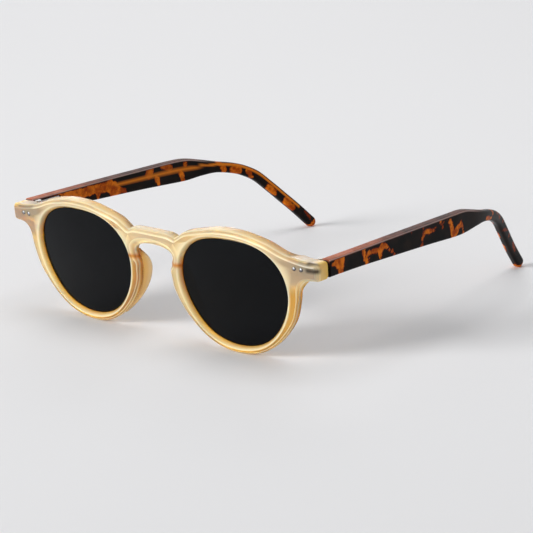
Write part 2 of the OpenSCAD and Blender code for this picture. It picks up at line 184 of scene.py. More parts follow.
def smooth_path(stops, steps):
    """Runs a smooth line through stops of any number of values, in equal steps between them."""
    path = []
    final = len(stops) - 1
    for i in range(final):
        four = [stops[min(max(i + k, 0), final)] for k in (-1, 0, 1, 2)]
        for step in range(steps):
            t = step / steps
            path.append([0.5 * (2 * b + (c - a) * t + (2 * a - 5 * b + 4 * c - d) * t * t
                                + (3 * b - a - 3 * c + d) * t ** 3) for a, b, c, d in zip(*four)])
    path.append(list(stops[-1]))
    return path


def rim_stop(degrees, out):
    return [degrees, *eye_at(degrees, out)]


# The outline of one half, from the middle of the keyhole round the rim and the end piece to
# the middle of the bridge's top: the angle at the opening that each stop faces, then u and v.
OUTLINE = [
    [-211, 0, BRIDGE_LOW], [-208.5, KEYHOLE_R * 0.42, BRIDGE_LOW - 0.3],
    [-206, KEYHOLE_R * 0.76, BRIDGE_LOW - 1.1], [-203, KEYHOLE_R * 0.95, BRIDGE_LOW - 2.3],
    [-199, KEYHOLE_R, BRIDGE_LOW - 3.8], [-195, KEYHOLE_R * 0.95, BRIDGE_LOW - 5.2],
    [-190.5, NOSE_U + 0.6, BRIDGE_LOW - 6.5], [-186, NOSE_U, BRIDGE_LOW - 8.2],
    [-180, NOSE_U + 0.3, BRIDGE_LOW - 10.7],
    *[rim_stop(a, rim_width(a)) for a in range(-172, -73, 14)],
    *[rim_stop(a, rim_width(a)) for a in range(-60, 1, 15)],
    [8, END_U - 8.7, END_LOW - 4.1], [12, END_U - 7.7, END_LOW - 1.9],
    [15.5, END_U - 5.8, END_LOW - 0.5], [17.5, END_U - 3, END_LOW - 0.1],
    [18.6, END_U - 0.9, END_LOW + 0.1], [19.6, END_U - 0.1, END_LOW + 1.1],
    [22, END_U, END_LOW + END_H * 0.5], [24.5, END_U - 0.2, END_TOP - 1.1],
    [26, END_U - 1.2, END_TOP - 0.2], [29, END_U - 4.5, END_TOP],
    [34, END_U - 9.5, END_TOP + 0.8], [41, END_U - 15, END_TOP + 2.2],
    [50, eye_at(50, RIM_TOP).x + 0.6, eye_at(50, RIM_TOP).y + 0.4],
    *[rim_stop(a, RIM_TOP) for a in range(62, 119, 14)],
    [127, *eye_at(135, RIM_TOP + 1.4)], [132, 12.7, BRIDGE_TOP], [137, 11, BRIDGE_TOP - 1],
    [139, 9.4, BRIDGE_TOP - 0.5], [141, 7, BRIDGE_TOP - 0.1], [143, 0, BRIDGE_TOP],
]
STATIONS = smooth_path(OUTLINE, STATIONS_A_STOP)
PAST_MIDDLE, EASING, EASING_REACH = 6, 1.5, 4.5


def rim_normals():
    """Directions into the rim, eased along the outline so that chamfers don't fold at corners."""
    flat = [Vector(s[1:]) for s in STATIONS]
    before = [Vector((-p.x, p.y)) for p in flat[PAST_MIDDLE:0:-1]]
    after = [Vector((-p.x, p.y)) for p in flat[-2:-2 - PAST_MIDDLE:-1]]
    line = before + flat + after
    turns, gaps = [], [0.0]
    for p, q in zip(line, line[1:]):
        step = q - p
        gaps.append(gaps[-1] + step.length)
        turns.append(Vector((-step.y, step.x)))
    normals = []
    for i in range(PAST_MIDDLE, PAST_MIDDLE + len(flat)):
        total = Vector((0, 0))
        for j, turn in enumerate(turns):
            away = (gaps[j] + gaps[j + 1]) / 2 - gaps[i]
            if abs(away) < EASING_REACH:
                total += turn * math.exp(-(away / EASING) ** 2)
        normals.append(total.normalized())
    normals[0], normals[-1] = Vector((0, 1)), Vector((0, -1))
    return normals


INWARD = rim_normals()


def is_block(u, v):
    """How far a place belongs to the thick end piece: 0 on the rim, 1 on the end piece."""
    return ramp(u, END_U - 13.4, END_U - 10.8) * ramp(v, END_LOW - 5.0, END_LOW + 0.4)


def rim_depth(v):
    return mix(RIM_T, BROW_T, ramp(v, EYE_V + 4.5, EYE_V + 22))


def front_point(p, d):
    return Vector((p[0], curved(p[0]) + d, p[1]))


def back_point(p, d):
    """A point on the back: level with the rim's own back, or on the end piece's upright back."""
    k = is_block(p[0], p[1])
    v = p[1] - k * (END_T * math.tan(LEAN) * 0.6 + max(p[1] - END_TOP, 0))
    upright = (JOINT_Y + v * math.sin(LEAN)) / math.cos(LEAN) - JOINT_GAP
    return Vector((p[0], (curved(p[0]) + rim_depth(p[1])) * (1 - k) + k * upright - d, v))


def in_place(p, side=1):
    """Leans a point of the slab back as the front is worn, and sets it on the table, in metres."""
    y = p.y * math.cos(LEAN) - p.z * math.sin(LEAN) + FOOTPRINT_Y
    z = p.y * math.sin(LEAN) + p.z * math.cos(LEAN) - REST_Z
    return Vector((side * p.x, y, z)) * MM


def polished(corners):
    """Rounds each corner of a section that is given with a cut, as buffing does."""
    points = []
    for i, (p, cut) in enumerate(corners):
        if cut == 0:
            points.append(p)
            continue
        before, after = corners[i - 1][0] - p, corners[(i + 1) % len(corners)][0] - p
        a = before * min(cut / max(before.length, 1e-6), 0.45)
        b = after * min(cut / max(after.length, 1e-6), 0.45)
        points += [p + a * (1 - t) ** 2 + b * t * t for t in (0, 0.25, 0.5, 0.75, 1)]
    return points


def led(a, start, end):
    """The way from the opening to the outline; it bends round the notch and into the end piece."""
    if end.x < EYE_U:
        k = (1 - ramp(end.x, 10.6, 11.4)) * ramp(end.y, BRIDGE_LOW - 3.5, BRIDGE_LOW)
        bend = Vector((NOTCH_U, BRIDGE_LOW + 2.58 + (146 - a % 360) * 0.01))
    else:
        k = ramp(end.x, END_U - 9, END_U - 5.5)
        bend = Vector((END_U - 10.7, END_LOW + 3.1 + (a - 22) * 0.12))
    middle = mix(mix(start, end, 0.4), bend, k)
    return lambda t: mix(start, middle, t / 0.4) if t < 0.4 else mix(middle, end, (t - 0.4) / 0.6)


def front_section(i):
    """One cut through the rim: groove, lens-side lip, face, chamfer, outer wall and back."""
    a, u, v = STATIONS[i]
    b = Vector((u, v))
    n = INWARD[i]
    brow = ramp(v, EYE_V - 2, EYE_V + 9)
    keyhole = 1 - ramp(u, KEYHOLE_R - 0.4, KEYHOLE_R + 1.4)
    keyhole *= 1 - ramp(v, BRIDGE_LOW, BRIDGE_LOW + 0.4)
    wide = mix(LOW_BEVEL, BROW_BEVEL, brow)
    wide += (KEYHOLE_BEVEL - BROW_BEVEL) * ramp(v, BRIDGE_LOW - 9, BRIDGE_LOW - 3) * keyhole
    deep = mix(LOW_ROUNDING, BEVEL_DEPTH, brow)
    inner, rim_in, back_in = eye_at(a, 0), eye_at(a, 1.1), eye_at(a, 0.6)
    b_out, b_flat = b + n * BACK_BEVEL, b + n * (BACK_BEVEL + 0.5)
    face_line = led(a, rim_in, b + n * (wide + 0.15))
    back_line = led(a, back_in, b_out)
    corners = [
        (front_point(eye_at(a, LENS_BEVEL + LENS_GAP), GROOVE_AT), 0),
        (front_point(inner, GROOVE_AT - GROOVE_HALF), 0.15),
        (front_point(rim_in, 0), 0.35),
        (front_point(face_line(0.4), 0), 0),
        (front_point(face_line(1), 0), 0),
        (front_point(b + n * wide, 0), 0.3),
        (front_point(b + n * wide * 0.43, deep * 0.43), 0.25),
        (front_point(b, deep), 0.35),
        (back_point(b, BACK_BEVEL), 0.4),
        (back_point(b_out, 0), 0.4),
        (back_point(b_flat, 0), 0),
        *[(back_point(back_line(k), 0), 0) for k in (0.78, 0.65, 0.52, 0.4, 0.28, 0.14)],
        (back_point(back_in, 0), 0.25),
        (front_point(inner, GROOVE_AT + GROOVE_HALF), 0.15),
    ]
    return polished(corners)


# Where the parts of a section begin among its 55 points. They run from the groove over the
# lens-side lip, the face, the three corners of the chamfer and the outer wall to the back.
LIP_MIDDLE, FACE, FACE_EDGE = 8, 11, 12
CHAMFER, CHAMFER_MIDDLE, CHAMFER_EDGE = 13, 18, 23
WALL, BACK = 28, 38


def sewn(name, verts, faces, weld=0.0, marks=None):
    """Makes one smoothly shaded piece of points and faces, and marks its points by name."""
    made = bmesh.new()
    layers = [(made.verts.layers.float.new(mark), values)
              for mark, values in (marks or {}).items()]
    added = [made.verts.new(v) for v in verts]
    for layer, values in layers:
        for vert, value in zip(added, values):
            vert[layer] = value
    for f in faces:
        made.faces.new([added[i] for i in f])
    if weld:
        bmesh.ops.remove_doubles(made, verts=made.verts, dist=weld)
        bmesh.ops.dissolve_degenerate(made, edges=made.edges, dist=weld)
    bmesh.ops.recalc_face_normals(made, faces=made.faces)
    for f in made.faces:
        f.smooth = True
    piece = bpy.data.objects.new(name, bpy.data.meshes.new(name))
    made.to_mesh(piece.data)
    made.free()
    bpy.context.collection.objects.link(piece)
    return piece


def bands(rings, size, closed):
    """The faces between neighbouring rings, each with its ring and its place on the ring."""
    for i in range(rings if closed else rings - 1):
        k = (i + 1) % rings
        for j in range(size):
            after = (j + 1) % size
            yield i, j, (i * size + j, k * size + j, k * size + after, i * size + after)


def even_shading(piece):
    soft = piece.modifiers.new("even_shading", "WEIGHTED_NORMAL")
    soft.mode = "FACE_AREA"
    soft.weight = 60
    soft.keep_sharp = True


def stretches(*runs):
    """One value for each point of a section, from runs of (how many points, value)."""
    return [value for count, value in runs for _ in range(count)]


def light_marks(section, side):
    """Marks each point of a section with the painted light it is given at an edge, how deep the
    honey looks there and how smoky the sheet is. Painted warm light deepens the honey to the
    lower left of both of the wearer's eyes and on the lower rims, painted light brightens the
    end pieces at their outer ends, and painted shade darkens the far end piece's outer chamfer."""
    u, v = section[FACE_EDGE].x, section[FACE_EDGE].z
    face_width = (section[FACE_EDGE] - section[LIP_MIDDLE]).length
    narrow = math.exp(-(face_width / 5) ** 2)
    block = is_block(u, v)
    low_side = 1 - ramp(v, END_LOW + 1, END_LOW + 4)
    end_wall = block * max(ramp(u, END_U - 4.5, END_U - 1.5), low_side)
    low = 1 - ramp(v, EYE_V - 21, EYE_V - 4)
    lower_left = (side * (u - EYE_U) - (v - EYE_V)) * 0.707
    # Painted warm light: light refracted through the acetate, laid in as deeper honey to the lower
    # left of each eye.
    warm = ramp(lower_left, 5, 18) * (1 - ramp(v, EYE_V + 2, EYE_V + 9))
    wall = mix(mix(1.0, 0.4, ramp(v, EYE_V + 6, EYE_V + 16)), 0.8, end_wall)
    bridge = (1 - ramp(u, 9, 12)) * ramp(v, BRIDGE_LOW - 1.5, BRIDGE_LOW + 0.5)

    # Painted highlights: how much light each point is given at the lip, the chamfer's corners and
    # the walls.
    painted_light = stretches((1, 0.3), (5, 0.4), (5, 1.0), (1, 0.85 * narrow), (1, 0.7 * narrow),
                     (5, 0.9), (5, 0.5), (5, 0.9), (5, 0.3), (5, 0.55), (1, 0.2), (5, 0.1),
                     (6, 0.2), (5, 0.4))
    for i in range(FACE, CHAMFER):
        painted_light[i] *= 1 - 0.6 * max(warm, low)
    for i in range(FACE, CHAMFER_EDGE):
        painted_light[i] *= 1 - 0.5 * block
    # Painted light on the end pieces' outer walls, as if they were lit through the acetate.
    for i in range(CHAMFER_MIDDLE, BACK):
        painted_light[i] = mix(painted_light[i], 1.0 if i < CHAMFER_EDGE else 1.6, end_wall)

    deep = stretches((1, 1.0), (3, 0.9), (2, 0.6), (1, 0.1), (4, 0.0), (2, 0.12), (5, 0.0),
                     (5, 0.15), (3, 0.35 * block), (1, 0.3 * wall), (1, 0.7 * wall),
                     (10, wall), (17, 0.7))
    # Painted shade: on the far end piece the outer chamfer is turned to a deeper, darker honey.
    if side < 0:
        for i in range(CHAMFER + 3, WALL):
            deep[i] = mix(deep[i], 0.6, block * ramp(u, END_U - 5, END_U - 1.5))
    # The painted warm light, also along the lower rims, goes into the deep honey wherever there is
    # no painted highlight.
    gold = 0.95 * max(warm, 0.6 * low)
    deep = [d * (1 - 0.65 * bridge) + (1 - d) * gold * (1 - g) for d, g in zip(deep, painted_light)]

    smoke = []
    for i, (p, g) in enumerate(zip(section, painted_light)):
        end = ramp(p.x, END_U - 34, END_U - 14) * ramp(p.z, END_LOW - 6, END_LOW)
        middle = (1 - ramp(p.x, 7, 11)) * ramp(p.z, BRIDGE_LOW - 1, BRIDGE_LOW + 0.8)
        most = max(end * (1 if side > 0 else 0.3), 0.6 * middle)
        outside = 0.5 * (1 - end_wall) if CHAMFER_MIDDLE <= i < BACK else 1
        smoke.append(most * max(1 - 0.7 * g, 0) * outside)
    return painted_light, deep, smoke


# The last section of a half, in the middle of the bridge's top, joins the first, in the middle
# of the keyhole, only round the openings and the faces, not across the outline.
sections = [front_section(i) for i in range(len(STATIONS))]
half = [p for section in sections for p in section]
half_faces = [f for i, j, f in bands(len(sections), len(sections[0]), True)
              if i < len(sections) - 1 or not FACE_EDGE <= j < BACK]
front_verts = [in_place(p, side) for side in (1, -1) for p in half]
front_faces = half_faces + [tuple(reversed([k + len(half) for k in f])) for f in half_faces]
marked = [light_marks(section, side) for side in (1, -1) for section in sections]
front_marks = {name: [value for marks in marked for value in marks[k]]
               for k, name in enumerate(("painted_light", "deep", "smoke"))}
front = sewn("front_frame_acetate", front_verts, front_faces, weld=WELD, marks=front_marks)
even_shading(front)


def shader(name, base, roughness):
    material = bpy.data.materials.new(name)
    material.use_nodes = True
    tree = material.node_tree
    body = tree.nodes["Principled BSDF"]
    body.inputs["Base Color"].default_value = (*base, 1)
    body.inputs["Roughness"].default_value = roughness
    return material, tree, body


def mark(tree, name):
    """Reads a mark that sewn() has left on the points of a piece."""
    reader = tree.nodes.new("ShaderNodeAttribute")
    reader.attribute_name = name
    return reader.outputs["Fac"]


def texture(tree, scale, detail=3.0, rough=0.5):
    place = tree.nodes.new("ShaderNodeTexCoord")
    grain = tree.nodes.new("ShaderNodeTexNoise")
    grain.inputs["Scale"].default_value = scale
    grain.inputs["Detail"].default_value = detail
    grain.inputs["Roughness"].default_value = rough
    tree.links.new(place.outputs["Object"], grain.inputs["Vector"])
    return grain.outputs["Fac"]


def spread(tree, source, low, high, to_low, to_high, smooth=True):
    step = tree.nodes.new("ShaderNodeMapRange")
    step.interpolation_type = "SMOOTHSTEP" if smooth else "LINEAR"
    for socket, value in (("From Min", low), ("From Max", high),
                          ("To Min", to_low), ("To Max", to_high)):
        step.inputs[socket].default_value = value
    tree.links.new(source, step.inputs["Value"])
    return step.outputs["Result"]


def blended(tree, factor, first, second):
    blend = tree.nodes.new("ShaderNodeMix")
    blend.data_type = "RGBA"
    tree.links.new(factor, blend.inputs["Factor"])
    for socket, colour in ((blend.inputs[6], first), (blend.inputs[7], second)):
        if isinstance(colour, tuple):
            socket.default_value = (*colour, 1)
        else:
            tree.links.new(colour, socket)
    return blend.outputs[2]


def combined(tree, operation, first, second):
    step = tree.nodes.new("ShaderNodeMath")
    step.operation = operation
    tree.links.new(first, step.inputs[0])
    tree.links.new(second, step.inputs[1])
    return step.outputs[0]


def window(tree, source, low, high, soft):
    """1 between low and high, and 0 outside, with soft edges."""
    return combined(tree, "MULTIPLY", spread(tree, source, low - soft, low + soft, 0, 1),
                    spread(tree, source, high - soft, high + soft, 1, 0))


def satin(tree, body, scale, strength, distance):
    bump = tree.nodes.new("ShaderNodeBump")
    bump.inputs["Strength"].default_value = strength
    bump.inputs["Distance"].default_value = distance
    tree.links.new(texture(tree, scale, 2.0), bump.inputs["Height"])
    tree.links.new(bump.outputs["Normal"], body.inputs["Normal"])


# The honey sheet is clouded, smoky at the near end piece and the bridge, and deep where one
# looks into it. Its edges carry painted highlights and its lower rims painted warm light. A
# painted shadow of the hinge leaf lies on the near end piece as two dark bars, and a painted
# amber refraction of the temple lies as a line by each pad, all on the front skin. Places are in
# metres; the last value of a window is how soft its edges are.
PLAIN_HONEY = ((0.87, 0.77, 0.57), (0.94, 0.84, 0.65))
SMOKY_HONEY, EDGE_HIGHLIGHT, DEEP_HONEY = (0.36, 0.33, 0.275), (1.0, 0.89, 0.62), (0.95, 0.50, 0.01)
LEAF_SHADOW, REFRACTED_AMBER = (0.07, 0.055, 0.035), (0.72, 0.27, 0.015)
DEPTH_TINT, DEPTH_DENSITY = (0.99, 0.78, 0.10), 150.0
UPPER_BAR_Z, LOWER_BAR_Z = (0.0377, 0.0388, 0.0006), (0.0350, 0.0365, 0.0007)
BAR_X = (0.0683, 0.0733, 0.0008)
REFRACTION_Z, REFRACTION_X = (0.0281, 0.0295, 0.0008), (0.0060, 0.0130, 0.0006)
SKIN_Y = (-0.0690, -0.0665)
SATIN = (2600.0, 0.12, 0.0001)

honey, tree, body = shader("honey_acetate", (0.80, 0.62, 0.38), 0.25)
painted_light, deep, smoke = mark(tree, "painted_light"), mark(tree, "deep"), mark(tree, "smoke")
cloud = spread(tree, texture(tree, 110.0), 0.35, 0.65, 0.0, 1.0)
plain = blended(tree, cloud, *PLAIN_HONEY)
smoky = blended(tree, spread(tree, smoke, 0, 1, 0, 0.9), plain, SMOKY_HONEY)
# Painted highlights at the edges, over the sheet's own colour.
bright = blended(tree, painted_light, smoky, EDGE_HIGHLIGHT)
honeyed = blended(tree, deep, bright, DEEP_HONEY)
see_through = combined(tree, "MULTIPLY", spread(tree, painted_light, 0.3, 1.6, 0.8, 0.05, False),
                       spread(tree, smoke, 0.0, 1.0, 1.0, 0.5))
tree.links.new(see_through, body.inputs["Transmission Weight"])
where = tree.nodes.new("ShaderNodeSeparateXYZ")
tree.links.new(tree.nodes.new("ShaderNodeTexCoord").outputs["Object"], where.inputs[0])
across, back, height = (where.outputs[axis] for axis in "XYZ")
from_middle = tree.nodes.new("ShaderNodeMath")
from_middle.operation = "ABSOLUTE"
tree.links.new(across, from_middle.inputs[0])
near_face = spread(tree, back, *SKIN_Y, 0.95, 0.0)
# A painted shadow of the hinge leaf: two dark bars on the near end piece's front skin.
bars = combined(tree, "MAXIMUM", window(tree, height, *LOWER_BAR_Z),
                window(tree, height, *UPPER_BAR_Z))
bars = combined(tree, "MULTIPLY", bars, window(tree, across, *BAR_X))
leaf_shadowed = blended(tree, combined(tree, "MULTIPLY", bars, near_face), honeyed, LEAF_SHADOW)
# A painted refraction: an amber line on the front skin by each pad, where the tortoise temple
# behind is seen through the acetate.
refraction_line = combined(tree, "MULTIPLY", window(tree, height, *REFRACTION_Z),
                window(tree, from_middle.outputs[0], *REFRACTION_X))
refracted = blended(tree, combined(tree, "MULTIPLY", refraction_line, near_face), leaf_shadowed, REFRACTED_AMBER)
tree.links.new(refracted, body.inputs["Base Color"])
body.inputs["Subsurface Weight"].default_value = 0.8
body.inputs["Subsurface Radius"].default_value = (0.6, 0.5, 0.35)
body.inputs["Subsurface Scale"].default_value = 0.002
body.inputs["IOR"].default_value = 1.45
body.inputs["Specular IOR Level"].default_value = 0.18
depth_tint = tree.nodes.new("ShaderNodeVolumeAbsorption")
depth_tint.inputs["Color"].default_value = (*DEPTH_TINT, 1)
depth_tint.inputs["Density"].default_value = DEPTH_DENSITY
tree.links.new(depth_tint.outputs[0], tree.nodes["Material Output"].inputs["Volume"])
satin(tree, body, *SATIN)
front.data.materials.append(honey)
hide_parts("front_frame")
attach(front, "front")


# The nose pads: a fin of the same acetate, bonded behind the nose side of each rim. It is
# highest beside the nose, and filed away to nothing above and below.

PAD_FROM, PAD_TO, PAD_PEAK = 163, 232, 185
PAD_H, PAD_CREST, PAD_EDGE, PAD_SUNK = 5.6, 1.6, 0.9, 0.25
PAD_ROWS = 49
PAD_DEEP = stretches((1, 0.9), (5, 0.7), (5, 0.4), (10, 0.2), (5, 0.4), (5, 0.7), (1, 0.9))
# A painted highlight along each pad's crest.
PAD_HIGHLIGHT = stretches((11, 0.0), (10, 0.6), (11, 0.0))


def pad_rise(a):
    if a < PAD_PEAK:
        x = (PAD_PEAK - a) / (PAD_PEAK - PAD_FROM)
    else:
        x = (a - PAD_PEAK) / (PAD_TO - PAD_PEAK)
    return max(PAD_H * (1 - x ** 2.2), 0.1)


def pad_section(a, side):
    """One cut through a pad, from its foot beside the lens over the crest to its outer foot."""
    h, middle, far = pad_rise(a), rim_width(a) / 2 + 0.4, rim_width(a) - 1
    inner, outer = middle - PAD_CREST / 2, middle + PAD_CREST / 2
    shape = [
        (PAD_EDGE, -PAD_SUNK, 0), (mix(PAD_EDGE, inner - 0.3, 0.7), h * 0.25, 0.6),
        (inner - 0.3, h * 0.7, 0.5), (inner + 0.25, h, 0.6),
        (outer - 0.25, h, 0.6), (outer + 0.3, h * 0.7, 0.5),
        (mix(far, outer + 0.3, 0.7), h * 0.25, 0.6), (far, -PAD_SUNK, 0),
    ]
    corners = [(back_point(eye_at(a, out), -up), min(cut, h * 0.4)) for out, up, cut in shape]
    return [in_place(p, side) for p in polished(corners)]


def capped(rings, size):
    """The faces of a run of rings that is closed at both ends."""
    faces = [f for _, _, f in bands(rings, size, False)]
    return faces + [tuple(range(size)), tuple(range((rings - 1) * size, rings * size))]


for side, which in ((1, "left"), (-1, "right")):
    rows = [pad_section(PAD_FROM + (PAD_TO - PAD_FROM) * i / (PAD_ROWS - 1), side)
            for i in range(PAD_ROWS)]
    pad = sewn("nose_pad_acetate_" + which, [p for row in rows for p in row],
               capped(PAD_ROWS, len(rows[0])),
               marks={"painted_light": PAD_HIGHLIGHT * PAD_ROWS, "deep": PAD_DEEP * PAD_ROWS})
    even_shading(pad)
    pad.data.materials.append(honey)
    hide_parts("nose_pad_" + which)
    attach(pad, "front")


# The lenses: dark, lightly domed plastic. Each is edged to a bevel all round and snapped from
# behind into the groove of its rim.

LENS_T, DOME = 1.6, 0.9
LENS_FRONT = GROOVE_AT - LENS_T / 2
LENS_SIDES = 144
LENS_STEPS = (0.02, 0.15, 0.3, 0.45, 0.6, 0.72, 0.84, 0.93, 0.985, 1)

lens_dark, tree, body = shader("tinted_lens", (0.003, 0.0038, 0.005), 0.04)
body.inputs["Transmission Weight"].default_value = 1.0
body.inputs["IOR"].default_value = 1.2
haze = spread(tree, texture(tree, 40.0), 0.3, 0.7, 0.03, 0.06)
tree.links.new(haze, body.inputs["Roughness"])


def lens_edge(out):
    return [eye_at(i * 360 / LENS_SIDES, out) for i in range(LENS_SIDES)]


def lens_ring(k, depth, side):
    dome = -DOME * (1 - k * k)
    middle = Vector((EYE_U, EYE_V))
    return [in_place(front_point(mix(middle, p, k), depth + dome), side)
            for p in lens_edge(-LENS_GAP)]


for side, which in ((1, "left"), (-1, "right")):
    rows = [lens_ring(k, LENS_FRONT, side) for k in LENS_STEPS]
    rows.append([in_place(front_point(p, GROOVE_AT), side) for p in lens_edge(LENS_BEVEL)])
    rows += [lens_ring(k, LENS_FRONT + LENS_T, side) for k in reversed(LENS_STEPS)]
    lens = sewn("lens_" + which + "_tinted", [p for row in rows for p in row],
                capped(len(rows), LENS_SIDES))
    even_shading(lens)
    lens.data.materials.append(lens_dark)
    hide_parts("lens_" + which)
    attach(lens, "front")


# The hinges: five nickel-plated knuckles on a steel screw. The front leaf is held by two rivets
# whose heads show on the end piece, and the other leaf is let into the temple's inner face.

NICKEL = ((0.30, 0.29, 0.28), (0.50, 0.49, 0.47))
STEEL = ((0.26, 0.27, 0.29), (0.46, 0.46, 0.48))
RIVET_SHADOW = (0.03, 0.025, 0.02)
RIVET_SIDES, RIVET_FACE = 24, 0.3
# Radius, depth behind the end piece's face and how dark its painted shadow is, from the shank to
# the crown.
RIVET_HEAD = [
    (0.8, 6, 0.2), (0.8, 0.3, 0.2), (0.8, -0.02, 0.5), (0.75, -0.05, 1), (0.66, 0.03, 1),
    (0.61, 0, 1), (0.56, -0.07, 0.2), (0.47, -0.15, 0), (0.36, -0.21, 0), (0.22, -0.26, 0),
    (0.08, -0.28, 0),
]

nickel, tree, body = shader("nickel_plate", (0.56, 0.55, 0.53), 0.3)
body.inputs["Metallic"].default_value = 1.0
wear = texture(tree, 900.0, 4.0)
tree.links.new(spread(tree, wear, 0.3, 0.7, 0.22, 0.42), body.inputs["Roughness"])
tree.links.new(blended(tree, wear, *NICKEL), body.inputs["Base Color"])
for name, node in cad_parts.items():
    if "hinge" in name:
        node.data.materials.clear()
        node.data.materials.append(nickel)

rivet_steel, tree, body = shader("rivet_steel", (0.4, 0.4, 0.42), 0.3)
body.inputs["Metallic"].default_value = 1.0
steel = blended(tree, texture(tree, 1500.0, 3.0), *STEEL)
# The dark ring round each head is a painted shadow of the countersink.
tree.links.new(blended(tree, mark(tree, "countersink_shadow"), steel, RIVET_SHADOW), body.inputs["Base Color"])

for name in ("inner_rivet_left", "outer_rivet_left", "inner_rivet_right", "outer_rivet_right"):
    pin = [v.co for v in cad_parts[name].data.vertices]
    pin_x, pin_z = ((min(c[k] for c in pin) + max(c[k] for c in pin)) / 2 for k in (0, 2))
    face_y = min(c.y for c in pin) + RIVET_FACE * MM
    turns = [math.radians(i * 360 / RIVET_SIDES) for i in range(RIVET_SIDES)]
    verts = [Vector((pin_x + r * MM * math.cos(t), face_y + y * MM, pin_z + r * MM * math.sin(t)))
             for r, y, _ in RIVET_HEAD for t in turns]
    rivet = sewn(name + "_steel", verts, capped(len(RIVET_HEAD), RIVET_SIDES),
                 marks={"countersink_shadow": [dark for _, _, dark in RIVET_HEAD for _ in turns]})
    even_shading(rivet)
    rivet.data.materials.append(rivet_steel)
    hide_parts(name)
    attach(rivet, "front")


# The temples: milled tortoise acetate, thick and square at the joint, deepest at the shoulder,
# then slimmed and bent down behind the ear. Each is a solid bar with the hinge leaf let in.

# Along from the joint, drop, height, how far in from the end piece's side, and thickness.
EAR_H, EAR_SUNK = 4.1, 0.52
TEMPLE_STOPS = [
    [0.12, 0, 6.2, 0, 4.0], [8, 0.1, 6.2, 0.2, 4.0], [20, 0.35, 6.4, 0.6, 4.0],
    [36, 0.8, 7.005, 1.2, 4.0], [56, 1.45, 7.695, 2.1, 4.0], [72, 2.1, 8.454, 2.9, 3.9],
    [80, 2.5, 8.3, 3.8, 3.9], [88, 3.3, 6.08, 4.9, 3.8], [95, 4.3, 4.3, 6.4, 3.7],
    [102, 5.9, EAR_H, 8.6, 3.6], [107, 7.8, EAR_H, 10.3, 3.4], [112, 10.8, EAR_H, 12.2, 3.4],
    [117, 15.5, EAR_H, 14.1, 3.4], [122.5, 21, EAR_H, 16.2, 3.4], [128, 26.5, EAR_H, 18.2, 3.4],
    [134.6, JOINT_Z - EAR_H * EAR_SUNK, EAR_H, 20, 3.4],
]
RINGS_A_STOP = 12
JOINT_CORNER, BAR_CORNER, EAR_CORNER = 0.9, 0.75, 1.25
TIP_LENGTH = 2.05
EDGE_STEPS, FACE_STEPS = (0.33, 0.67), (0.2, 0.4, 0.6, 0.8)
PATH = smooth_path(TEMPLE_STOPS, RINGS_A_STOP)
CENTRES = [Vector((END_U - inset - t / 2, JOINT_Y + y, JOINT_Z - drop))
           for y, drop, h, inset, t in PATH]
last = len(PATH) - 1
lengths = [0.0]
for p, q in zip(CENTRES, CENTRES[1:]):
    lengths.append(lengths[-1] + (q - p).length)


def temple_axes(i):
    if i == 0:
        along = Vector((0, 1, 0))
    else:
        along = (CENTRES[min(i + 1, last)] - CENTRES[i - 1]).normalized()
    outward = (Vector((1, 0, 0)) - along * along.x).normalized()
    return along, outward, outward.cross(along)


def temple_ring(i, shrink, push, corner):
    """One ring of the bar: four rounded corners from the outer top one, and the flats between.
    Each point comes with its way along the bar and its place across it."""
    along, outward, up = temple_axes(i)
    r = corner * shrink
    half_t = PATH[i][4] / 2 * mix(0.55, 1, shrink) - r
    half_h = PATH[i][2] / 2 * shrink - r
    arcs = []
    for q, (sx, sz) in enumerate(((1, 1), (-1, 1), (-1, -1), (1, -1))):
        turns = [math.radians(90 * q + a) for a in range(0, 91, 15)]
        arcs.append([(sx * half_t + r * math.cos(t), sz * half_h + r * math.sin(t))
                     for t in turns])
    ring = []
    for q, arc in enumerate(arcs):
        (x0, z0), (x1, z1) = arc[-1], arcs[(q + 1) % 4][0]
        ring += arc + [(mix(x0, x1, k), mix(z0, z1, k))
                       for k in (FACE_STEPS if q % 2 else EDGE_STEPS)]
    return [(CENTRES[i] + outward * x + up * z + along * push, lengths[i] + push, x, z)
            for x, z in ring]


temple_rings = [temple_ring(0, 0.965, 0, JOINT_CORNER), temple_ring(0, 0.99, 0.05, JOINT_CORNER)]
BEFORE_BAR = len(temple_rings)
for i, stop in enumerate(PATH):
    corner = mix(BAR_CORNER, EAR_CORNER, ramp(stop[0], 70, 100))
    temple_rings.append(temple_ring(i, 1, 0.15 if i == 0 else 0, corner))
for degrees in (12, 24, 36, 48, 60, 70, 79, 86):
    a = math.radians(degrees)
    temple_rings.append(temple_ring(last, math.cos(a), math.sin(a) * TIP_LENGTH, EAR_CORNER))

